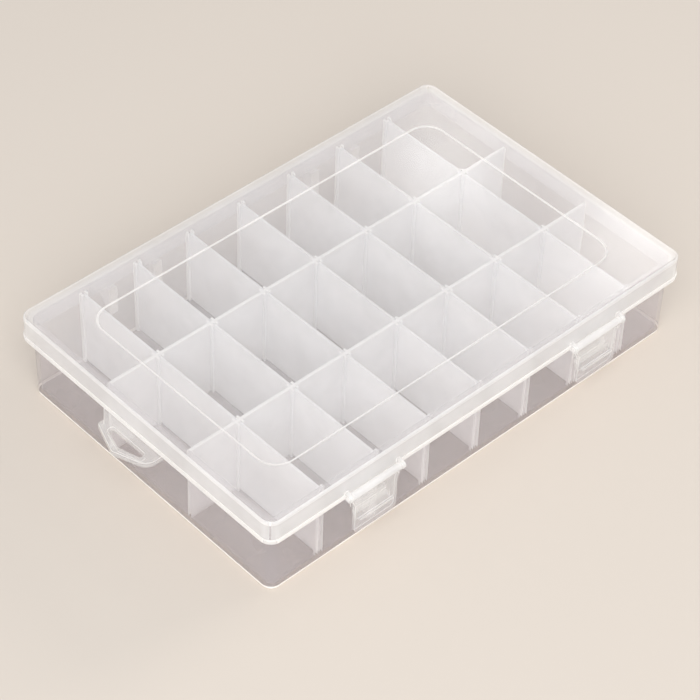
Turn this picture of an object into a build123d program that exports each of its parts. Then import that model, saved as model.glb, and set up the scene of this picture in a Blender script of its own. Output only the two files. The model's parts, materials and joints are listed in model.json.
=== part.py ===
from build123d import *
import math
import os

# Compartment box for embroidery thread: a clear tray with two fixed long walls
# and lift-out dividers, a clear hinged lid with a hanging skirt, and two
# pin-hinged latches on the front.
#
# Frame: millimetres, +Z up, origin at the centre of the tray's underside.
# +X runs along the front, -Y is the front (latches), +Y is the back (hinges),
# and the hang tab stands out of the -X end.

# ---------------------------------------------------------------- tray
tray_length = 190.0             # outside, along X
tray_width = 125.0              # outside, along Y
tray_wall = 1.3
tray_floor = 1.3
tray_corner_radius = 4.0        # outside, seen from above
tray_base_round = 0.4           # outer bottom edge

# ---------------------------------------------------------------- lid
box_height = 36.0               # floor to lid top, closed
lid_plate = 1.5                 # top plate thickness
lid_wall = 1.2                  # skirt thickness
skirt_clearance = 1.3           # tray wall to skirt, all round
skirt_height = 10.0             # lid top to the skirt's lower edge
lid_corner_radius = 4.5         # outside, seen from above
lid_top_round = 1.0             # outer top edge
flange_out = 0.4                # bead round the skirt's lower edge
flange_height = 1.6
rim_gap = 0.2                   # tray rim to the underside of the lid
panel_length = 162.0            # sunk field in the lid top
panel_width = 96.4
panel_corner_radius = 8.5
panel_depth = 0.4

# ---------------------------------------------------------------- compartments
column_count = 8
row_names = ["front", "middle", "back"]
end_compartment = 21.4          # tray's end wall to the middle of the first divider
long_wall_thickness = 1.2
long_wall_drop = 1.0            # tray rim down to the top of the fixed walls
divider_thickness = 1.0
divider_drop = 0.4              # top of the fixed walls down to the divider's top
divider_end_gap = 0.2           # divider end to the wall behind it
divider_foot_chamfer = 1.2
divider_top_round = 1.0
slot_clearance = 0.15           # each side of a divider in its groove
rib_thickness = 0.8
rib_depth = 1.2

# ---------------------------------------------------------------- hang tab
tab_offset = 2.0                # middle of the tab, towards the hinge side
tab_top_gap = 0.8               # skirt's lower edge down to the tab
tab_thickness = 2.0
tab_half_width = 13.0
tab_shoulder = 8.3              # tray end to the tab's side corners
tab_reach = 13.0                # tray end to the tab's tip
tab_front_radius = 5.0          # the corner on the latch side
tab_tip_radius = 2.0
tab_back_radius = 1.0           # the corner on the hinge side
tab_flare_reach = 5.7           # tray end to the start of the flared root
tab_flare_width = 7.1           # how far the root flares along the tray's end
tab_slot_root = 5.4             # tray end to the slot's inner edge
tab_slot_half_width = 8.6
tab_slot_shoulder = 2.4         # slot's inner edge to its side corners
tab_slot_reach = 4.9            # slot's inner edge to its tip
tab_slot_radius = 1.0

# ---------------------------------------------------------------- back hinges
hinge_inset = 47.0              # tray end to the middle of each hinge
hinge_width = 24.0              # over both of the tray's ears
hinge_axis_out = 3.1            # flange to the pin's axis
hinge_axis_drop = 1.6           # skirt's lower edge down to the pin's axis
hinge_ear_width = 3.6
hinge_ear_radius = 2.4
hinge_ear_foot = 11.0           # pin axis down to the foot of the ear's web
hinge_ear_top_gap = 0.5         # skirt's lower edge down to the ear's web
hinge_knuckle_radius = 2.2
hinge_side_gap = 0.3            # knuckle to ear
hinge_arm_rise = 5.0            # skirt's lower edge up to the top of the arm
hinge_pin_diameter = 2.4
pin_clearance = 0.15            # radial, every pin in its hole

# ---------------------------------------------------------------- latches
latch_inset = 42.2              # tray end to the middle of each latch
latch_head_width = 21.1         # between the lid's ears
latch_width = 18.9              # below the shoulders
latch_thickness = 1.3
latch_knuckle_radius = 1.4
latch_knuckle_gap = 0.3         # skirt to the latch's knuckle
latch_face_inset = 0.8          # front of the knuckle back to the plate's outer face
latch_axis_rise = 1.0           # skirt's lower edge up to the latch pin's axis
latch_shoulder_drop = 3.1       # pin axis down to the head's lower corners
latch_shoulder_radius = 3.9
latch_length = 18.2             # pin axis down to the latch's lower edge
latch_corner_radius = 2.0
latch_ear_thickness = 1.6
latch_ear_radius = 1.6
latch_ear_side_gap = 0.25
latch_ear_rise = 2.0            # pin axis up to the ear's top at the skirt
latch_pin_diameter = 1.6
catch_width = 14.0
catch_out = 2.4                 # tray wall to the catch's edge
catch_underside_drop = 9.5      # skirt's lower edge down to the catch's underside
catch_edge_height = 1.4
catch_slope = 1.9               # rise of the catch's lead-in
hook_width = 15.0
hook_gap = 0.3                  # catch's underside down to the hook
hook_bite = 1.2                 # overlap of the hook under the catch
hook_edge_height = 0.9
hook_height = 2.8
finger_ridge_width = 15.0
finger_ridge_out = 0.9
finger_ridge_height = 0.8
finger_ridge_drop = 12.0        # pin axis down to the middle of the finger ridge

# ---------------------------------------------------------------- worked-out places
skirt_bottom = box_height - skirt_height
tray_top = box_height - lid_plate - rim_gap
long_wall_top = tray_top - long_wall_drop
divider_top = long_wall_top - divider_drop
lid_length = tray_length + 2 * (skirt_clearance + lid_wall)
lid_width = tray_width + 2 * (skirt_clearance + lid_wall)
flange_face = lid_width / 2 + flange_out
inner_length = tray_length - 2 * tray_wall
inner_width = tray_width - 2 * tray_wall
row_count = len(row_names)
row_span = (inner_width - (row_count - 1) * long_wall_thickness) / row_count
row_pitch = row_span + long_wall_thickness
divider_count = column_count - 1
column_pitch = (inner_length - 2 * end_compartment) / (column_count - 2)
divider_xs = [(i - (divider_count - 1) / 2) * column_pitch for i in range(divider_count)]
row_ys = [(j - (row_count - 1) / 2) * row_pitch for j in range(row_count)]
hinge_offset = tray_length / 2 - hinge_inset
hinge_y = flange_face + hinge_axis_out
hinge_z = skirt_bottom - hinge_axis_drop
latch_offset = tray_length / 2 - latch_inset
latch_y = -lid_width / 2 - latch_knuckle_gap - latch_knuckle_radius
latch_z = skirt_bottom + latch_axis_rise
catch_z = skirt_bottom - catch_underside_drop


def slab(length, width, radius, z_low, z_high):
    """A plate with rounded corners, centred on the origin."""
    outline = RectangleRounded(length, width, radius)
    return extrude(Pos(0, 0, z_low) * outline, z_high - z_low)


def block(x_low, x_high, y_low, y_high, z_low, z_high):
    """A box between two corners."""
    size = Box(x_high - x_low, y_high - y_low, z_high - z_low)
    return Pos((x_low + x_high) / 2, (y_low + y_high) / 2, (z_low + z_high) / 2) * size


def side_profile(points, x_low, x_high):
    """A closed outline of (y, z) points, extruded along X."""
    face = make_face(Polyline([(0, y, z) for y, z in points], close=True))
    return Pos(x_low, 0, 0) * extrude(face, amount=x_high - x_low, dir=(1, 0, 0))


def rod(y, z, radius, x_low, x_high):
    """A cylinder along X."""
    turned = Rot(0, 90, 0) * Cylinder(radius, x_high - x_low)
    return Pos((x_low + x_high) / 2, y, z) * turned


def groove_ribs():
    """The pairs of ribs that hold each divider's two upright edges."""
    slot_half = divider_thickness / 2 + slot_clearance
    ribs = []
    for x in divider_xs:
        for y in row_ys:
            for side in (-1, 1):
                wall = y + side * row_span / 2
                inner = wall - side * rib_depth
                y_low, y_high = sorted((wall, inner))
                for x_low in (x - slot_half - rib_thickness, x + slot_half):
                    x_high = x_low + rib_thickness
                    ribs.append(block(x_low, x_high, y_low, y_high, tray_floor, long_wall_top))
    return ribs


def hang_tab():
    """The five-sided loop on the tray's end, with its slot and its flared root."""
    end = -tray_length / 2
    root = end + tray_wall / 2
    top = skirt_bottom - tab_top_gap
    outline = Polyline(
        (root, tab_half_width + tab_flare_width),
        (end, tab_half_width + tab_flare_width),
        (end - tab_flare_reach, tab_half_width),
        (end - tab_shoulder, tab_half_width),
        (end - tab_reach, 0),
        (end - tab_shoulder, -tab_half_width),
        (root, -tab_half_width),
        close=True,
    )
    loop = make_face(outline)
    corners = [
        (end - tab_shoulder, -tab_half_width, tab_front_radius),
        (end - tab_reach, 0, tab_tip_radius),
        (end - tab_shoulder, tab_half_width, tab_back_radius),
    ]
    for x, y, radius in corners:
        corner = loop.vertices().sort_by_distance((x, y, 0))[0]
        loop = fillet(corner, radius)
    inner_edge = end - tab_slot_root
    slot_line = Polyline(
        (inner_edge, tab_slot_half_width),
        (inner_edge - tab_slot_shoulder, tab_slot_half_width),
        (inner_edge - tab_slot_reach, 0),
        (inner_edge - tab_slot_shoulder, -tab_slot_half_width),
        (inner_edge, -tab_slot_half_width),
        close=True,
    )
    slot = make_face(slot_line)
    slot = fillet(slot.vertices(), tab_slot_radius)
    return extrude(Pos(0, tab_offset, top - tab_thickness) * (loop - slot), tab_thickness)


def hinge_ears(x_centre):
    """The tray's two bored ears at one hinge."""
    wall = tray_width / 2
    root = wall - tray_wall / 2
    web_top = skirt_bottom - hinge_ear_top_gap
    web = [
        (root, web_top),
        (hinge_y, web_top),
        (hinge_y + hinge_ear_radius, hinge_z),
        (wall, hinge_z - hinge_ear_foot),
        (root, hinge_z - hinge_ear_foot),
    ]
    ears = []
    for side in (-1, 1):
        outer = x_centre + side * hinge_width / 2
        inner = outer - side * hinge_ear_width
        x_low, x_high = sorted((outer, inner))
        ear = side_profile(web, x_low, x_high) + rod(hinge_y, hinge_z, hinge_ear_radius, x_low, x_high)
        hole_radius = hinge_pin_diameter / 2 + pin_clearance
        ears.append(ear - rod(hinge_y, hinge_z, hole_radius, x_low - 1, x_high + 1))
    return ears


def catch(x_centre):
    """The ledge on the tray's front wall that a latch hooks under."""
    wall = -tray_width / 2
    root = wall + tray_wall / 2
    edge_top = catch_z + catch_edge_height
    profile = [
        (root, catch_z),
        (wall - catch_out, catch_z),
        (wall - catch_out, edge_top),
        (wall, edge_top + catch_slope),
        (root, edge_top + catch_slope),
    ]
    return side_profile(profile, x_centre - catch_width / 2, x_centre + catch_width / 2)


def make_tray():
    """Floor, walls, fixed long walls, ribs, catches, hinge ears and hang tab."""
    shell = slab(tray_length, tray_width, tray_corner_radius, 0, tray_top)
    bottom_edges = shell.faces().sort_by(Axis.Z)[0].edges()
    shell = fillet(bottom_edges, tray_base_round)
    inner_radius = tray_corner_radius - tray_wall
    shell -= slab(inner_length, inner_width, inner_radius, tray_floor, tray_top + 1)
    half = inner_length / 2 + tray_wall / 2
    long_walls = []
    for j in range(row_count - 1):
        y = (row_ys[j] + row_ys[j + 1]) / 2
        t = long_wall_thickness / 2
        long_walls.append(block(-half, half, y - t, y + t, tray_floor / 2, long_wall_top))
    additions = long_walls + groove_ribs() + [hang_tab()]
    for side in (-1, 1):
        additions += hinge_ears(side * hinge_offset)
        additions.append(catch(side * latch_offset))
    return shell.fuse(*additions)


def hinge_knuckle(x_centre):
    """The lid's knuckle at one hinge, with the stub pins at its ends."""
    half = hinge_width / 2 - hinge_ear_width - hinge_side_gap
    root = lid_width / 2 - lid_wall / 2
    arm_top = skirt_bottom + hinge_arm_rise
    arm = [
        (root, arm_top),
        (flange_face, arm_top),
        (hinge_y + hinge_knuckle_radius, hinge_z),
        (hinge_y, hinge_z - hinge_knuckle_radius),
        (flange_face, skirt_bottom),
        (root, skirt_bottom),
    ]
    knuckle = side_profile(arm, x_centre - half, x_centre + half)
    knuckle += rod(hinge_y, hinge_z, hinge_knuckle_radius, x_centre - half, x_centre + half)
    reach = hinge_width / 2
    return knuckle + rod(hinge_y, hinge_z, hinge_pin_diameter / 2, x_centre - reach, x_centre + reach)


def latch_ears(x_centre):
    """The lid's two bored ears that carry one latch."""
    root = -lid_width / 2 + lid_wall / 2
    web = [
        (root, skirt_bottom),
        (latch_y, latch_z - latch_ear_radius),
        (latch_y, latch_z + latch_ear_radius),
        (root, latch_z + latch_ear_rise),
    ]
    ears = []
    for side in (-1, 1):
        inner = x_centre + side * (latch_head_width / 2 + latch_ear_side_gap)
        outer = inner + side * latch_ear_thickness
        x_low, x_high = sorted((inner, outer))
        ear = side_profile(web, x_low, x_high) + rod(latch_y, latch_z, latch_ear_radius, x_low, x_high)
        hole_radius = latch_pin_diameter / 2 + pin_clearance
        ears.append(ear - rod(latch_y, latch_z, hole_radius, x_low - 1, x_high + 1))
    return ears


def flange_gap(x_centre):
    """The stretch of the skirt's bead that is left out behind one latch."""
    half = latch_head_width / 2 + latch_ear_side_gap
    skirt_face = -lid_width / 2
    bead_top = skirt_bottom + flange_height
    return block(
        x_centre - half, x_centre + half, skirt_face - 2 * flange_out, skirt_face, skirt_bottom - 1, bead_top + 1
    )


def make_lid():
    """Top plate with its sunk field, skirt, flange, knuckles and latch ears."""
    shell = slab(lid_length, lid_width, lid_corner_radius, skirt_bottom, box_height)
    top_edges = shell.faces().sort_by(Axis.Z)[-1].edges()
    shell = fillet(top_edges, lid_top_round)
    flange = slab(
        lid_length + 2 * flange_out,
        lid_width + 2 * flange_out,
        lid_corner_radius + flange_out,
        skirt_bottom,
        skirt_bottom + flange_height,
    )
    shell += flange
    cavity = slab(
        lid_length - 2 * lid_wall,
        lid_width - 2 * lid_wall,
        lid_corner_radius - lid_wall,
        skirt_bottom - 1,
        box_height - lid_plate,
    )
    panel = slab(panel_length, panel_width, panel_corner_radius, box_height - panel_depth, box_height + 1)
    shell = shell - cavity - panel
    for side in (-1, 1):
        shell -= flange_gap(side * latch_offset)
    additions = []
    for side in (-1, 1):
        additions.append(hinge_knuckle(side * hinge_offset))
        additions += latch_ears(side * latch_offset)
    return shell.fuse(*additions)


def latch_outline():
    """The latch's plate seen from the front: wide head, hollow shoulders, round foot."""
    head = latch_head_width / 2
    half = latch_width / 2
    foot = latch_z - latch_length
    shoulder_top = latch_z - latch_shoulder_drop
    to_chord = latch_shoulder_radius - (head - half)
    shoulder_bottom = shoulder_top - math.sqrt(latch_shoulder_radius**2 - to_chord**2)
    corners = [
        (half, foot),
        (half, shoulder_bottom),
        (head, shoulder_top),
        (head, latch_z),
        (-head, latch_z),
        (-head, shoulder_top),
        (-half, shoulder_bottom),
        (-half, foot),
    ]
    right_side = Line(corners[0], corners[1])
    right_shoulder = RadiusArc(corners[1], corners[2], latch_shoulder_radius)
    top = Polyline(*corners[2:6])
    left_shoulder = RadiusArc(corners[5], corners[6], latch_shoulder_radius)
    bottom = Polyline(corners[6], corners[7], corners[0])
    face = make_face([right_side, right_shoulder, top, left_shoulder, bottom])
    return fillet(face.vertices().sort_by(Axis.Y)[:2], latch_corner_radius)


def make_latch(x_centre):
    """One latch: knuckle, stub pins, plate, inner hook and finger ridge."""
    outer_face = latch_y - latch_knuckle_radius + latch_face_inset
    inner_face = outer_face + latch_thickness
    outline = Pos(x_centre, inner_face, 0) * (Plane.XZ * latch_outline())
    plate = extrude(outline, amount=latch_thickness, dir=(0, -1, 0))
    hook_top = catch_z - hook_gap
    hook_tip = -tray_width / 2 - catch_out + hook_bite
    hook = [
        (inner_face - latch_thickness / 2, hook_top),
        (hook_tip, hook_top),
        (hook_tip, hook_top - hook_edge_height),
        (inner_face, hook_top - hook_height),
        (inner_face - latch_thickness / 2, hook_top - hook_height),
    ]
    ridge_z = latch_z - finger_ridge_drop
    ridge_half = finger_ridge_height / 2
    ridge = [
        (outer_face + latch_thickness / 2, ridge_z + ridge_half),
        (outer_face - finger_ridge_out, ridge_z + ridge_half / 2),
        (outer_face - finger_ridge_out, ridge_z - ridge_half),
        (outer_face + latch_thickness / 2, ridge_z - ridge_half),
    ]
    head = latch_head_width / 2
    pin_reach = head + latch_ear_side_gap + latch_ear_thickness
    pieces = [
        rod(latch_y, latch_z, latch_knuckle_radius, x_centre - head, x_centre + head),
        rod(latch_y, latch_z, latch_pin_diameter / 2, x_centre - pin_reach, x_centre + pin_reach),
        side_profile(hook, x_centre - hook_width / 2, x_centre + hook_width / 2),
        side_profile(ridge, x_centre - finger_ridge_width / 2, x_centre + finger_ridge_width / 2),
    ]
    return plate.fuse(*pieces)


def make_divider(x, y):
    """One lift-out divider: a thin plate with chamfered feet and rounded top corners."""
    half_thickness = divider_thickness / 2
    half_width = row_span / 2 - divider_end_gap
    plate = block(
        x - half_thickness, x + half_thickness, y - half_width, y + half_width, tray_floor, divider_top
    )
    along_x = plate.edges().filter_by(Axis.X).sort_by(Axis.Z)
    plate = chamfer(along_x[:2], divider_foot_chamfer)
    top_corners = plate.edges().filter_by(Axis.X).sort_by(Axis.Z)[-2:]
    return fillet(top_corners, divider_top_round)


def write(node, shape):
    """Write one node's solids to its STEP file."""
    export_step(Compound(children=shape.solids()), os.path.join("parts", node + ".step"))
    print(node, len(shape.solids()), "solid(s)", round(shape.volume, 1), "mm3")


os.makedirs("parts", exist_ok=True)
write("tray", make_tray())
write("lid", make_lid())
write("latch_left", make_latch(-latch_offset))
write("latch_right", make_latch(latch_offset))
for row_name, row_y in zip(row_names, row_ys):
    for number, divider_x in enumerate(divider_xs, start=1):
        write(f"divider_{row_name}_{number}", make_divider(divider_x, row_y))
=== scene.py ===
"""Looks for a clear compartment box for embroidery thread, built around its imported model.

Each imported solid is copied, merged and given softened edges, and its faces are sorted into
zones: clear skin, frosted skin, floor, bright rim and so on. A zone is one finish of moulded
polypropylene. Lengths are in millimetres until the last step, which writes metres.
"""

import json
import logging
import math
from dataclasses import dataclass, field
from enum import Enum

import bmesh
import bpy
from mathutils import Matrix, Vector

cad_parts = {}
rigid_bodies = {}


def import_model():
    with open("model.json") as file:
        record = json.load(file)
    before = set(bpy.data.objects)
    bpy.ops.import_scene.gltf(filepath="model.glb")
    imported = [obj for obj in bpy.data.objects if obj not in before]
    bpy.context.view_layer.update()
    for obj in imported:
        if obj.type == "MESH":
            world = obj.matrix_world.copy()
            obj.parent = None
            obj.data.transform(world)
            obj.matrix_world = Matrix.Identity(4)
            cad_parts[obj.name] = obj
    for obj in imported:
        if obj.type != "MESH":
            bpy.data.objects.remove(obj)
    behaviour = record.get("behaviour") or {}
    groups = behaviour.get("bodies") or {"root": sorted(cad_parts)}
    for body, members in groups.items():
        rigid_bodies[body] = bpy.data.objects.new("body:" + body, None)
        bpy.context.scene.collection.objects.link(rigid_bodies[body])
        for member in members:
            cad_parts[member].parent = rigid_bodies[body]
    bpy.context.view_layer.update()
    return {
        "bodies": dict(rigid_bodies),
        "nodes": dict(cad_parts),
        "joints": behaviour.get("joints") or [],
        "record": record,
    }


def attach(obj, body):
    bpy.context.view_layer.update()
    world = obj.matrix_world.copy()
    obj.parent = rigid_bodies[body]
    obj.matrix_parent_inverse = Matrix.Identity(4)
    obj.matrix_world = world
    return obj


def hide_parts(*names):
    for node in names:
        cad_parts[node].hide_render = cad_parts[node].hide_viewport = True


LOG = logging.getLogger("thread_box")
MM = 0.001
MERGE_MM = 0.001
FLAT_DEG = 1.0
BOUNCES = {"transparent_max_bounces": 64, "max_bounces": 24, "diffuse_bounces": 16}
NodeTree = bpy.types.NodeTree
Socket = bpy.types.NodeSocket


class Zone(Enum):
    """What a face of a moulding is, which with the moulding decides its finish."""

    CLEAR = "clear skin"
    FROSTED = "frosted skin"
    # painted shade: the floor is hazed grey, standing in for the shade inside and under the box
    FLOOR = "floor skin"
    # painted shade: the wall beside the floor is hazed a darker grey still
    BASE = "wall beside the floor"
    # painted highlight: faces finished near-opaque white, standing in for the light that a clear
    # edge gathers by refraction and reflection inside it
    PAINTED_HIGHLIGHT_RIM = "bright rim"
    # partly real haze, where the plastic is thick, and partly a painted highlight standing in for
    # the bright line along it
    HAZY_EDGE_AND_HIGHLIGHT = "thick, hazy edge"
    MILKY = "milky skin"
    # painted highlight: a bright band along the foot of the walls, standing in for light caught
    # inside the wall
    PAINTED_FOOT_LINE = "bright line at the foot of the walls"


# ---------------------------------------------------------------- colours and nodes


def linear(hex_code: str) -> tuple[float, float, float, float]:
    """Turns an sRGB hex colour into linear light.

    Args:
        hex_code: six hex digits after a hash sign.

    Returns:
        Red, green, blue and an alpha of 1.
    """
    shares = [int(hex_code[i : i + 2], 16) / 255 for i in (1, 3, 5)]
    low = [s / 12.92 if s <= 0.04045 else ((s + 0.055) / 1.055) ** 2.4 for s in shares]
    return low[0], low[1], low[2], 1.0


def add_node(
    tree: NodeTree, kind: str, inputs: dict | None = None, **settings: object
) -> bpy.types.Node:
    """Adds one node, with its settings, values and links.

    Args:
        tree: the node tree that it goes into.
        kind: the node's type name.
        inputs: input name or number to a value, or to the socket that feeds it.
        settings: the node's own properties.

    Returns:
        The new node.
    """
    node = tree.nodes.new(kind)
    for name, value in settings.items():
        setattr(node, name, value)
    for key, value in (inputs or {}).items():
        if isinstance(value, Socket):
            tree.links.new(value, node.inputs[key])
        else:
            node.inputs[key].default_value = value
    return node


def per_mm(size_mm: float) -> float:
    """The noise scale at which one feature is that many millimetres across."""
    return 1.0 / (size_mm * MM)


# ---------------------------------------------------------------- finishes


@dataclass(frozen=True)
class MouldedPolypropylene:
    """Natural polypropylene, injection moulded and unfilled.

    The polymer is see-through but full of small crystals, so each skin scatters a share of the
    light as a white haze and lets the rest straight through, a little dimmed. The skin is as
    smooth as the steel it was moulded against, so it mirrors like any plastic of IOR 1.49.
    """

    name: str
    haze: float
    haze_colour: str
    tint: str = "#FFFFFF"
    roughness: float = 0.12
    glow: float = 0.5
    flow_mm: float = 22.0
    flow_share: float = 0.15
    wave_mm: float = 14.0
    wave_depth_mm: float = 0.02
    grain_mm: float = 0.7
    grain_depth_mm: float = 0.0
    # painted light and shade: more haze towards the foot and a greyer haze at the top of the
    # walls, which even out how the lamps' light falls off down the cells
    painted_light_foot_share: float = 0.0
    painted_shade_top_colour: str = ""
    wall_top_mm: float = 33.0
    ior: float = 1.49

    def material(self) -> bpy.types.Material:
        """Builds the material.

        Returns:
            A node material whose skin is clear, hazy and glossy in these shares.
        """
        made = bpy.data.materials.new(self.name)
        made.use_nodes = True
        tree = made.node_tree
        tree.nodes.clear()
        place = add_node(tree, "ShaderNodeTexCoord").outputs["Object"]
        bump = self.skin(tree, place)
        scatter = self.scatter(tree, place, bump)
        clear = add_node(tree, "ShaderNodeBsdfTransparent", {"Color": linear(self.tint)})
        body = add_node(
            tree,
            "ShaderNodeMixShader",
            {0: self.haze_share(tree, place), 1: clear.outputs[0], 2: scatter},
        )
        gloss = add_node(
            tree,
            "ShaderNodeBsdfAnisotropic",
            {"Color": (1, 1, 1, 1), "Roughness": self.roughness, "Normal": bump},
        )
        skin = add_node(
            tree,
            "ShaderNodeMixShader",
            {0: self.mirror_share(tree, bump), 1: body.outputs[0], 2: gloss.outputs[0]},
        )
        add_node(tree, "ShaderNodeOutputMaterial", {"Surface": skin.outputs[0]})
        return made

    def skin(self, tree: NodeTree, place: Socket) -> Socket:
        """Shallow sink waves from cooling and, on a frosted skin, the spark-eroded grain.

        Args:
            tree: the material's nodes.
            place: the Object coordinates.

        Returns:
            The bumped normal.
        """
        waves = add_node(
            tree,
            "ShaderNodeTexNoise",
            {"Vector": place, "Scale": per_mm(self.wave_mm), "Detail": 1.0, "Roughness": 0.4},
        )
        bump = add_node(
            tree,
            "ShaderNodeBump",
            {"Height": waves.outputs[0], "Strength": 1.0, "Distance": self.wave_depth_mm * MM},
        )
        if self.grain_depth_mm == 0:
            return bump.outputs[0]
        grain = add_node(
            tree,
            "ShaderNodeTexNoise",
            {"Vector": place, "Scale": per_mm(self.grain_mm), "Detail": 2.0, "Roughness": 0.6},
        )
        return add_node(
            tree,
            "ShaderNodeBump",
            {
                "Height": grain.outputs[0],
                "Strength": 1.0,
                "Distance": self.grain_depth_mm * MM,
                "Normal": bump.outputs[0],
            },
        ).outputs[0]

    def haze_share(self, tree: NodeTree, place: Socket) -> Socket:
        """The share of light that the skin scatters.

        It is cloudier in drifts where the melt ran and, on a frosted skin, more so towards the
        foot: painted light, which brightens the foot against the shade that falls deep in the
        cells.

        Args:
            tree: the material's nodes.
            place: the Object coordinates.

        Returns:
            The share, from 0 to 1.
        """
        flow = add_node(
            tree,
            "ShaderNodeTexNoise",
            {"Vector": place, "Scale": per_mm(self.flow_mm), "Detail": 3.0, "Roughness": 0.5},
        )
        share = add_node(
            tree,
            "ShaderNodeMapRange",
            {
                "Value": flow.outputs[0],
                "From Min": 0.3,
                "From Max": 0.7,
                "To Min": self.haze * (1 - self.flow_share),
                "To Max": min(1.0, self.haze * (1 + self.flow_share)),
            },
        ).outputs[0]
        if self.painted_light_foot_share == 0:
            return share
        # painted light: the haze share rises towards the foot, against the shade that falls there
        more = self.by_height(tree, place, self.painted_light_foot_share, 0.0)
        return add_node(
            tree,
            "ShaderNodeMath",
            {0: share, 1: more},
            operation="ADD",
            use_clamp=True,
        ).outputs[0]

    def by_height(self, tree: NodeTree, place: Socket, low: float, high: float) -> Socket:
        """A number that runs from one value at the floor to another at the top of the walls.

        Args:
            tree: the material's nodes.
            place: the Object coordinates.
            low: its value at the floor.
            high: its value at the top of the walls.

        Returns:
            The number.
        """
        height = add_node(tree, "ShaderNodeSeparateXYZ", {0: place}).outputs["Z"]
        ends = {"From Min": 0.0, "From Max": self.wall_top_mm * MM, "To Min": low, "To Max": high}
        return add_node(tree, "ShaderNodeMapRange", {"Value": height, **ends}).outputs[0]

    def scatter(self, tree: NodeTree, place: Socket, bump: Socket) -> Socket:
        """The white haze, part sent back and part sent on, greyer towards the top if so told:
        painted shade, which with the painted light at the foot evens out how the light falls off
        down the walls.

        Args:
            tree: the material's nodes.
            place: the Object coordinates.
            bump: the bumped normal.

        Returns:
            The haze's shader.
        """
        colour: tuple | Socket = linear(self.haze_colour)
        # painted shade: the haze greys towards the top of the walls, where the lamps light it most
        if self.painted_shade_top_colour:
            mix = {0: self.by_height(tree, place, 0.0, 1.0), 6: colour, 7: linear(self.painted_shade_top_colour)}
            colour = add_node(tree, "ShaderNodeMix", mix, data_type="RGBA").outputs[2]
        back = add_node(tree, "ShaderNodeBsdfDiffuse", {"Color": colour, "Normal": bump})
        on = add_node(tree, "ShaderNodeBsdfTranslucent", {"Color": colour, "Normal": bump})
        return add_node(
            tree, "ShaderNodeMixShader", {0: self.glow, 1: back.outputs[0], 2: on.outputs[0]}
        ).outputs[0]

    def mirror_share(self, tree: NodeTree, bump: Socket) -> Socket:
        """What the skin mirrors: little head on, more at a low angle, the same from both sides.

        Args:
            tree: the material's nodes.
            bump: the bumped normal.

        Returns:
            The share, from 0 to 1.
        """
        head_on = ((self.ior - 1) / (self.ior + 1)) ** 2
        facing = add_node(tree, "ShaderNodeLayerWeight", {"Blend": 0.5, "Normal": bump})
        low = add_node(
            tree,
            "ShaderNodeMath",
            {0: facing.outputs["Facing"], 1: 5.0},
            operation="POWER",
        )
        return add_node(
            tree,
            "ShaderNodeMath",
            {0: low.outputs[0], 1: 1 - head_on, 2: head_on},
            operation="MULTIPLY_ADD",
        ).outputs[0]


@dataclass(frozen=True)
class Finishes:
    """Every finish of the box."""

    lid: MouldedPolypropylene = MouldedPolypropylene(
        "moulded polypropylene, clear lid", haze=0.16, haze_colour="#FDFDFF", glow=0.4
    )
    skirt: MouldedPolypropylene = MouldedPolypropylene(
        "moulded polypropylene, hazy skirt", haze=0.46, haze_colour="#F8F9F9"
    )
    # painted shade: the tray's haze is a little grey on the walls, greyer on the floor and darkest
    # beside it, standing in for the shade inside and under the box
    wall: MouldedPolypropylene = MouldedPolypropylene(
        "moulded polypropylene, clear tray", haze=0.16, haze_colour="#E4E2E4", tint="#FBFAFB"
    )
    floor: MouldedPolypropylene = MouldedPolypropylene(
        "moulded polypropylene, tray floor", haze=0.34, haze_colour="#D2CECF", tint="#FBFAFB"
    )
    base: MouldedPolypropylene = MouldedPolypropylene(
        "moulded polypropylene, beside the floor", haze=0.5, haze_colour="#CAC5C6", tint="#FBFAFB"
    )
    # frosted, with painted light at the foot and painted shade at the top, which even out the
    # light down the cells
    frost: MouldedPolypropylene = MouldedPolypropylene(
        "moulded polypropylene, frosted",
        haze=0.7,
        haze_colour="#FFFFFF",
        painted_shade_top_colour="#F5F5F6",
        roughness=0.42,
        glow=0.55,
        grain_depth_mm=0.02,
        painted_light_foot_share=0.15,
    )
    # painted highlight: near-opaque white, standing in for the light gathered along clear edges
    rim: MouldedPolypropylene = MouldedPolypropylene(
        "moulded polypropylene, painted highlight edge", haze=0.8, haze_colour="#FFFEFC", roughness=0.2
    )
    # partly real haze where the plastic is thick, partly a painted highlight
    edge: MouldedPolypropylene = MouldedPolypropylene(
        "moulded polypropylene, thick, highlight-painted edge", haze=0.62, haze_colour="#FCFCFC", roughness=0.2
    )
    milky: MouldedPolypropylene = MouldedPolypropylene(
        "moulded polypropylene, milky clip", haze=0.26, haze_colour="#FAFBFA"
    )
    # painted highlight: a near-opaque bright band at the foot of the walls
    line: MouldedPolypropylene = MouldedPolypropylene(
        "moulded polypropylene, painted highlight foot line",
        haze=0.93,
        haze_colour="#FBF6F1",
        roughness=0.3,
        glow=0.1,
    )


# ---------------------------------------------------------------- pieces


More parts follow.
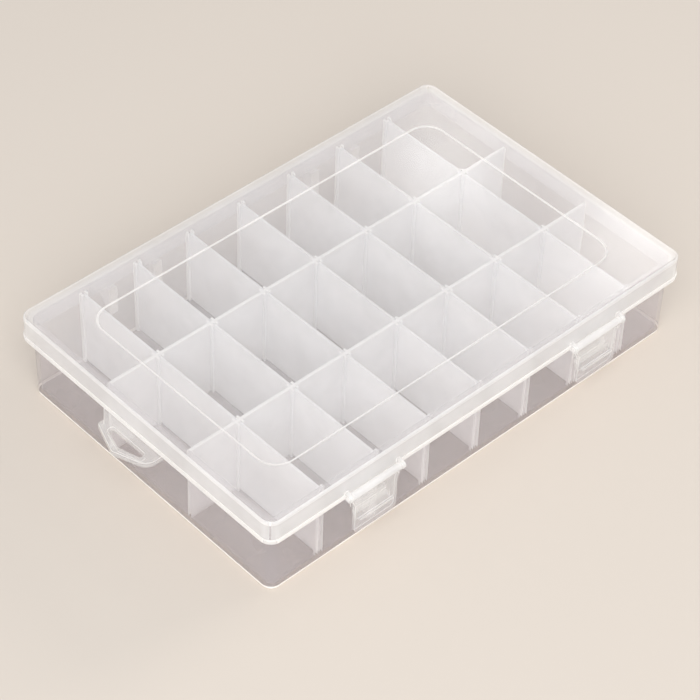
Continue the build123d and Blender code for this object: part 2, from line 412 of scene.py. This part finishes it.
@dataclass
class Moulding:
    """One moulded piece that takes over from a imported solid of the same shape."""

    node: str
    body: str
    slot: str
    finishes: dict[Zone, bpy.types.Material]
    soften_mm: float = 0.15
    sharp_deg: float = 28.0
    crease_deg: float = 40.0
    facet_share: float = 0.3
    cuts_z: tuple[float, ...] = ()

    def zone_of(self, centre: Vector, normal: Vector) -> Zone:
        """The zone of a face, from its centre in millimetres and its normal."""
        raise NotImplementedError

    def edge_zone_of(self, centre: Vector) -> Zone:
        """The zone of a softened edge, from its centre in millimetres."""
        # painted highlight: by default a softened edge is finished as a bright rim
        return Zone.PAINTED_HIGHLIGHT_RIM

    def detail(self, shape: bmesh.types.BMesh) -> list[bmesh.types.BMFace]:
        """Adds the piece's own bright lines, painted highlights flat in its faces.

        Args:
            shape: the piece before its edges are softened.

        Returns:
            The faces to finish as rim.
        """
        return []

    def build(self, frame: dict) -> bpy.types.Object:
        """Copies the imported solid, softens its edges and dresses its faces.


        Returns:
            The finished piece, riding on its body.
        """
        mesh = bpy.data.meshes.new(f"{self.node}_moulding")
        shape = bmesh.new()
        shape.from_mesh(frame["nodes"][self.node].data)
        bmesh.ops.remove_doubles(shape, verts=shape.verts, dist=MERGE_MM * MM)
        bmesh.ops.dissolve_limit(
            shape, angle_limit=math.radians(FLAT_DEG), verts=shape.verts, edges=shape.edges
        )
        for height in self.cuts_z:
            bmesh.ops.bisect_plane(
                shape,
                geom=shape.verts[:] + shape.edges[:] + shape.faces[:],
                dist=MERGE_MM * MM,
                plane_co=(0, 0, height * MM),
                plane_no=(0, 0, 1),
            )
        zones = list(self.finishes)
        for face in shape.faces:
            zone = self.zone_of(face.calc_center_median() / MM, face.normal)
            face.material_index = zones.index(zone)
        # painted highlight lines that the piece adds in its own faces
        for face in self.detail(shape):
            face.material_index = zones.index(Zone.PAINTED_HIGHLIGHT_RIM)
        self.soften(shape)
        shape.to_mesh(mesh)
        shape.free()
        for zone in zones:
            mesh.materials.append(self.finishes[zone])
        piece = bpy.data.objects.new(f"{self.node}_moulding", mesh)
        bpy.context.scene.collection.objects.link(piece)
        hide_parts(self.node)
        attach(piece, self.body)
        LOG.info("%s: %d faces on body %s", piece.name, len(mesh.polygons), self.body)
        return piece

    def soften(self, shape: bmesh.types.BMesh) -> None:
        """Rounds every sharp edge a little, and gives the new faces their own zone.

        Args:
            shape: the piece.
        """
        limit = math.radians(self.sharp_deg)
        sharp = [e for e in shape.edges if e.is_manifold and e.calc_face_angle(0) > limit]
        made = bmesh.ops.bevel(
            shape,
            geom=sharp,
            offset=self.soften_mm * MM,
            offset_type="OFFSET",
            segments=2,
            profile=0.5,
            affect="EDGES",
            clamp_overlap=False,
            material=-1,
        )
        zones = list(self.finishes)
        for face in made["faces"]:
            face.material_index = zones.index(self.edge_zone_of(face.calc_center_median() / MM))
        rounded = set(made["faces"])
        for face in shape.faces:
            face.smooth = face in rounded or self.is_curved(face, rounded)
        crease = math.radians(self.crease_deg)
        for edge in shape.edges:
            edge.smooth = not (edge.is_manifold and edge.calc_face_angle(0) > crease)

    def is_curved(self, face: bmesh.types.BMFace, rounded: set[bmesh.types.BMFace]) -> bool:
        """Tells a facet of a curved wall from a flat face, which keeps its own true normal.

        Args:
            face: the face to judge.
            rounded: the faces that softening made.

        Returns:
            Whether a neighbour of about its own size turns away from it a little.
        """
        flat, sharp, size = math.radians(FLAT_DEG), math.radians(self.sharp_deg), face.calc_area()
        for edge in face.edges:
            if not edge.is_manifold or not flat < edge.calc_face_angle(0) <= sharp:
                continue
            other = next(f for f in edge.link_faces if f is not face)
            if other not in rounded and other.calc_area() > self.facet_share * size:
                return True
        return False


@dataclass
class Tray(Moulding):
    """The tray: clear walls, a floor hazed grey as painted shade, frosted long walls, and bright
    rims and hinge ears painted as highlights.
    """

    cuts_z: tuple[float, ...] = (0.05, 1.15, 1.6)
    rim_z: float = 34.0
    long_wall_top: float = 33.0
    long_wall_y: tuple[float, float] = (18.5, 22.7)
    rib_y: tuple[float, float] = (59.9, 61.15)
    rib_x: float = 80.0
    floor_top: float = 1.35
    inner_x: float = 93.6
    outer: tuple[float, float] = (95.1, 62.6)
    level: float = 0.97
    upward: float = 0.6

    def zone_of(self, centre: Vector, normal: Vector) -> Zone:
        """The zone of a face: by height at the foot of the walls, by place above it.

        Args:
            centre: its centre in millimetres.
            normal: its normal.

        Returns:
            The zone.
        """
        across, along = abs(centre.y), abs(centre.x)
        # painted shade: the floor's faces take the grey floor finish
        if centre.z < self.floor_top and abs(normal.z) > self.level:
            return Zone.FLOOR
        if centre.z < self.cuts_z[2]:
            # painted highlight along the foot of the walls, between the underside and the greyer
            # band beside the floor
            return (Zone.CLEAR, Zone.PAINTED_FOOT_LINE, Zone.BASE)[sum(centre.z > z for z in self.cuts_z[:2])]
        if self.long_wall_y[0] < across < self.long_wall_y[1] and along < self.inner_x:
            # painted highlight: the tops of the long walls are finished as a bright rim
            return Zone.PAINTED_HIGHLIGHT_RIM if normal.z > self.upward else Zone.FROSTED
        if self.rib_y[0] < across < self.rib_y[1] and along < self.rib_x:
            return Zone.FROSTED
        # painted highlight: the hinge side beyond the back wall is finished as a bright rim
        if centre.y > self.outer[1]:
            return Zone.PAINTED_HIGHLIGHT_RIM
        if across > self.outer[1] or along > self.outer[0]:
            return Zone.MILKY
        return Zone.CLEAR

    def edge_zone_of(self, centre: Vector) -> Zone:
        """The zone of a softened edge: clear at the outer rim and underside, frosted at the ribs.

        Args:
            centre: its centre in millimetres.

        Returns:
            The zone.
        """
        if centre.z > self.rim_z or centre.z < self.cuts_z[0]:
            return Zone.CLEAR
        inside = abs(centre.y) < self.rib_y[1] and abs(centre.x) < self.inner_x
        # painted highlight: softened edges outside the ribs are finished as a bright rim
        return Zone.FROSTED if inside and centre.z < self.long_wall_top else Zone.PAINTED_HIGHLIGHT_RIM


@dataclass
class Lid(Moulding):
    """The lid: a clear plate, a hazier skirt, a bead and edges painted bright as highlights, and
    its hinge arms.
    """

    cuts_z: tuple[float, ...] = (34.5,)
    plate_under: float = 34.4
    skirt: tuple[float, float] = (96.2, 63.7)
    bead: tuple[float, float] = (97.6, 65.1)
    bead_under: float = 26.1
    bead_top: float = 27.7
    arm_y: float = 65.45
    cavity_z: tuple[float, float] = (34.0, 34.8)
    level: float = 0.93
    downward: float = 0.6
    panel_z: float = 35.6
    panel_slack_mm: float = 0.02
    panel_level: float = 0.99
    panel_highlight_mm: float = 0.6
    panel_highlight_shift_mm: float = 0.2

    def zone_of(self, centre: Vector, normal: Vector) -> Zone:
        """The zone of a face: the plate's first, then the arms', the bead's and the skirt's.

        Args:
            centre: its centre in millimetres.
            normal: its normal.

        Returns:
            The zone.
        """
        across, along = abs(centre.y), abs(centre.x)
        if centre.z > self.plate_under:
            if abs(normal.z) > self.level:
                return Zone.CLEAR
            # painted highlight: the plate's rounded sides are a bright rim inside the skirt, a
            # hazy edge beyond it
            return Zone.HAZY_EDGE_AND_HIGHLIGHT if along > self.skirt[0] or across > self.skirt[1] else Zone.PAINTED_HIGHLIGHT_RIM
        # painted highlight: the hinge arms at the back, the bead's underside and the bead are
        # finished as bright rims
        if across > self.arm_y:
            return Zone.PAINTED_HIGHLIGHT_RIM if centre.y > 0 else Zone.MILKY
        if centre.z < self.bead_under and normal.z < -self.downward:
            return Zone.PAINTED_HIGHLIGHT_RIM
        if centre.z < self.bead_top and (along > self.bead[0] or across > self.bead[1]):
            return Zone.PAINTED_HIGHLIGHT_RIM
        if along > self.skirt[0] or across > self.skirt[1]:
            return Zone.MILKY
        return Zone.CLEAR

    def edge_zone_of(self, centre: Vector) -> Zone:
        """The zone of a softened edge: clear in the cavity's corner, hazy at the latch ears.

        Args:
            centre: its centre in millimetres.

        Returns:
            The zone.
        """
        # painted highlight: softened edges are bright rims, save in the cavity's corner and at the
        # latch ears
        if abs(centre.y) > self.arm_y:
            return Zone.PAINTED_HIGHLIGHT_RIM if centre.y > 0 else Zone.MILKY
        return Zone.CLEAR if self.cavity_z[0] <= centre.z <= self.cavity_z[1] else Zone.PAINTED_HIGHLIGHT_RIM

    def detail(self, shape: bmesh.types.BMesh) -> list[bmesh.types.BMFace]:
        """A painted highlight: the bright line where the sunk field begins, wider on the left and
        front sides, which face the key lamp.

        Args:
            shape: the lid before its edges are softened.

        Returns:
            The line's faces.
        """
        sunk = [
            f
            for f in shape.faces
            if f.normal.z > self.panel_level
            and abs(f.calc_center_median().z / MM - self.panel_z) < self.panel_slack_mm
        ]
        ring = bmesh.ops.inset_region(
            shape, faces=sunk, thickness=self.panel_highlight_mm * MM, use_even_offset=True
        )
        # painted highlight: shifted so that the line is wider on the sides that face the key lamp
        shift = self.panel_highlight_shift_mm * MM
        inner = {v for face in sunk for v in face.verts}
        bmesh.ops.translate(shape, vec=(shift, shift, 0.0), verts=list(inner))
        return ring["faces"]


@dataclass
class Divider(Moulding):
    """A lift-out divider: frosted, with its foot painted bright as a highlight that the walls show
    from outside.
    """

    foot_z: float = 3.0
    sideways: float = 0.7

    def zone_of(self, centre: Vector, normal: Vector) -> Zone:
        """The zone of a face, from its centre in millimetres and its normal."""
        low = centre.z < self.foot_z
        # painted highlight: the foot's faces, save its ends, are finished as a bright rim
        return Zone.PAINTED_HIGHLIGHT_RIM if low and abs(normal.x) < self.sideways else Zone.FROSTED

    def edge_zone_of(self, centre: Vector) -> Zone:
        """The zone of a softened edge: painted bright at the foot as a highlight, frosted above
        it.
        """
        return Zone.PAINTED_HIGHLIGHT_RIM if centre.z < self.foot_z else Zone.FROSTED


@dataclass
class Latch(Moulding):
    """A pin-hinged clip: hazy knuckle and edges, partly painted as highlights, milky plate and
    finger ridge, clear end.
    """

    cuts_z: tuple[float, ...] = (14.4, 25.6)
    ridge_y: float = -67.45
    ridge_z: float = 15.0

    def zone_of(self, centre: Vector, normal: Vector) -> Zone:
        """The zone of a face: the knuckle's, the plate's with its ridge, or the end's.

        Args:
            centre: its centre in millimetres.
            normal: its normal.

        Returns:
            The zone.
        """
        # partly painted highlight: the knuckle above the upper cut is finished as a hazy edge
        if centre.z > self.cuts_z[1]:
            return Zone.HAZY_EDGE_AND_HIGHLIGHT
        at_end = centre.z < self.cuts_z[0] and centre.y >= self.ridge_y
        return Zone.CLEAR if at_end else Zone.MILKY

    def edge_zone_of(self, centre: Vector) -> Zone:
        """The zone of a softened edge: hazy all round, partly as a painted highlight, but milky on
        top of the finger ridge.
        """
        upper_ridge = centre.y < self.ridge_y and self.ridge_z < centre.z < self.cuts_z[1]
        return Zone.MILKY if upper_ridge else Zone.HAZY_EDGE_AND_HIGHLIGHT


# ---------------------------------------------------------------- studio


@dataclass(frozen=True)
class Softbox:
    """A square softbox: power, side and centre in watts and metres, and its colour."""

    name: str
    watts: float
    size: float
    place: tuple[float, float, float]
    hex_code: str
    mirrored: bool = False


@dataclass(frozen=True)
class Glare:
    """A small lamp whose mirror image falls on a spot of the lid, in millimetres."""

    name: str
    watts: float
    size: float
    spot_mm: tuple[float, float, float]


@dataclass
class Studio:
    """The pale floor, the soft lamps, the world and the camera of the photograph."""

    floor_hex: str = "#CCC2B7"
    floor_half: float = 4.0
    floor_gap_mm: float = 0.02
    world_level: float = 0.61
    world_lit: str = "#F3F8FF"
    world_seen: str = "#E2D9CF"
    softboxes: tuple[Softbox, ...] = (
        Softbox("key softbox", 57.0, 2.0, (-1.156, -1.156, 1.472), "#FFFFFF"),
        Softbox("warm softbox", 9.0, 0.7, (1.5, -0.2, 0.6), "#FFF9F2"),
    )
    glares: tuple[Glare, ...] = (
        Glare("back window", 0.055, 0.07, (68.0, 25.0, 36.0)),
        Glare("side window", 0.075, 0.11, (84.0, -56.0, 36.0)),
        Glare("corner window", 0.035, 0.07, (90.0, -50.0, 36.0)),
    )
    glare_hex: str = "#FFFEFC"
    glare_distance: float = 1.5
    camera_mm: tuple[float, float, float] = (-470.10, -479.79, 659.31)
    azimuth: float = -44.3065
    elevation: float = 44.2995
    roll: float = 2.2363
    lens: float = 135.68
    sensor: float = 36.0
    clip: tuple[float, float] = (0.01, 20.0)

    def build(self) -> None:
        """Builds all of it."""
        self.floor()
        self.world()
        for softbox in self.softboxes:
            self.lamp(softbox)
        for glare in self.glares:
            self.lamp(self.mirrored_at(glare))
        self.camera()

    def floor(self) -> None:
        """A wide, pale, matt floor."""
        paint = bpy.data.materials.new("matt pale board")
        paint.use_nodes = True
        tree = paint.node_tree
        tree.nodes.clear()
        flat = add_node(tree, "ShaderNodeBsdfDiffuse", {"Color": linear(self.floor_hex)})
        add_node(tree, "ShaderNodeOutputMaterial", {"Surface": flat.outputs[0]})
        mesh = bpy.data.meshes.new("floor")
        shape = bmesh.new()
        bmesh.ops.create_grid(shape, x_segments=1, y_segments=1, size=self.floor_half)
        shape.to_mesh(mesh)
        shape.free()
        mesh.materials.append(paint)
        board = bpy.data.objects.new("floor", mesh)
        board.location.z = -self.floor_gap_mm * MM
        bpy.context.scene.collection.objects.link(board)

    def world(self) -> None:
        """An even, cool sky, which the camera and mirrors see as the floor's pale colour."""
        world = bpy.data.worlds.new("studio")
        world.use_nodes = True
        tree = world.node_tree
        tree.nodes.clear()
        lit, seen = (
            add_node(tree, "ShaderNodeBackground", {"Color": linear(colour), "Strength": level})
            for colour, level in ((self.world_lit, self.world_level), (self.world_seen, 1.0))
        )
        ray = add_node(tree, "ShaderNodeLightPath")
        seen_by = ray.outputs["Is Camera Ray"]
        for kind in ("Is Glossy Ray", "Is Transmission Ray"):
            seen_by = add_node(
                tree,
                "ShaderNodeMath",
                {0: seen_by, 1: ray.outputs[kind]},
                operation="MAXIMUM",
            ).outputs[0]
        mix = add_node(
            tree, "ShaderNodeMixShader", {0: seen_by, 1: lit.outputs[0], 2: seen.outputs[0]}
        )
        add_node(tree, "ShaderNodeOutputWorld", {"Surface": mix.outputs[0]})
        bpy.context.scene.world = world

    def mirrored_at(self, glare: Glare) -> Softbox:
        """Places a small softbox where the camera sees it mirrored in the lid.

        Args:
            glare: the lamp and the spot where its reflection falls.

        Returns:
            The softbox.
        """
        spot = Vector(glare.spot_mm) * MM
        seen = (Vector(self.camera_mm) * MM - spot).normalized()
        place = spot + self.glare_distance * Vector((-seen.x, -seen.y, seen.z))
        return Softbox(
            glare.name, glare.watts, glare.size, tuple(place), self.glare_hex, mirrored=True
        )

    def lamp(self, softbox: Softbox) -> None:
        """Adds a lamp that faces the box.

        A large one isn't mirrored, as if polarised away, so that the lid never shows blank white.

        Args:
            softbox: what it is and where it stands.
        """
        data = bpy.data.lights.new(softbox.name, "AREA")
        data.energy, data.size = softbox.watts, softbox.size
        data.color = linear(softbox.hex_code)[:3]
        lamp = bpy.data.objects.new(softbox.name, data)
        lamp.location = softbox.place
        lamp.rotation_euler = Vector(softbox.place).to_track_quat("Z", "Y").to_euler()
        lamp.visible_glossy = softbox.mirrored
        bpy.context.scene.collection.objects.link(lamp)

    def camera(self) -> None:
        """The camera, from a fit to the photograph's straight edges."""
        az, el, roll = (math.radians(a) for a in (self.azimuth, self.elevation, self.roll))
        back = Vector((math.sin(az) * math.cos(el), -math.cos(az) * math.cos(el), math.sin(el)))
        right = Vector((math.cos(az), math.sin(az), 0.0))
        up = back.cross(right)
        turned_right = right * math.cos(roll) + up * math.sin(roll)
        turned_up = up * math.cos(roll) - right * math.sin(roll)
        data = bpy.data.cameras.new("camera")
        data.sensor_width, data.lens = self.sensor, self.lens
        data.clip_start, data.clip_end = self.clip
        camera = bpy.data.objects.new("camera", data)
        rows = Matrix((turned_right, turned_up, back)).transposed().to_4x4()
        camera.matrix_world = Matrix.Translation(Vector(self.camera_mm) * MM) @ rows
        bpy.context.scene.collection.objects.link(camera)
        bpy.context.scene.camera = camera


@dataclass
class ThreadBox:
    """The whole box: tray, lid, two latches and twenty-one dividers."""

    finishes: Finishes = field(default_factory=Finishes)

    def mouldings(self, frame: dict) -> list[Moulding]:
        """Lists every piece with its finishes.


        Returns:
            The pieces, not built yet.
        """
        own = self.finishes
        rim, edge, milky, frost = (x.material() for x in (own.rim, own.edge, own.milky, own.frost))
        base, wall, floor, lid, skirt, line = (
            x.material() for x in (own.base, own.wall, own.floor, own.lid, own.skirt, own.line)
        )
        tray = {
            Zone.CLEAR: wall,
            Zone.FROSTED: frost,
            Zone.FLOOR: floor,
            Zone.BASE: base,
            Zone.PAINTED_HIGHLIGHT_RIM: rim,
            Zone.MILKY: milky,
            Zone.PAINTED_FOOT_LINE: line,
        }
        cover = {Zone.CLEAR: lid, Zone.MILKY: skirt, Zone.PAINTED_HIGHLIGHT_RIM: rim, Zone.HAZY_EDGE_AND_HIGHLIGHT: edge}
        clip = {Zone.CLEAR: lid, Zone.MILKY: milky, Zone.HAZY_EDGE_AND_HIGHLIGHT: edge}
        plate = {Zone.FROSTED: frost, Zone.PAINTED_HIGHLIGHT_RIM: rim}
        made: list[Moulding] = [
            Tray("tray", "tray", "clear_tray", tray),
            Lid("lid", "lid", "clear_lid", cover),
        ]
        for side in ("left", "right"):
            name = f"latch_{side}"
            made.append(Latch(name, name, "clear_latch", clip))
        for node in sorted(frame["nodes"]):
            if node.startswith("divider"):
                made.append(Divider(node, "tray", "frosted_divider", plate))
        return made


def main() -> None:
    logging.basicConfig(level=logging.INFO, format="%(name)s: %(message)s")
    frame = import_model()
    for moulding in ThreadBox().mouldings(frame):
        moulding.build(frame)
    Studio().build()
    scene = bpy.context.scene
    scene.view_settings.view_transform = "Standard"
    for name, count in BOUNCES.items():
        setattr(scene.cycles, name, count)


if __name__ == "__main__":
    main()
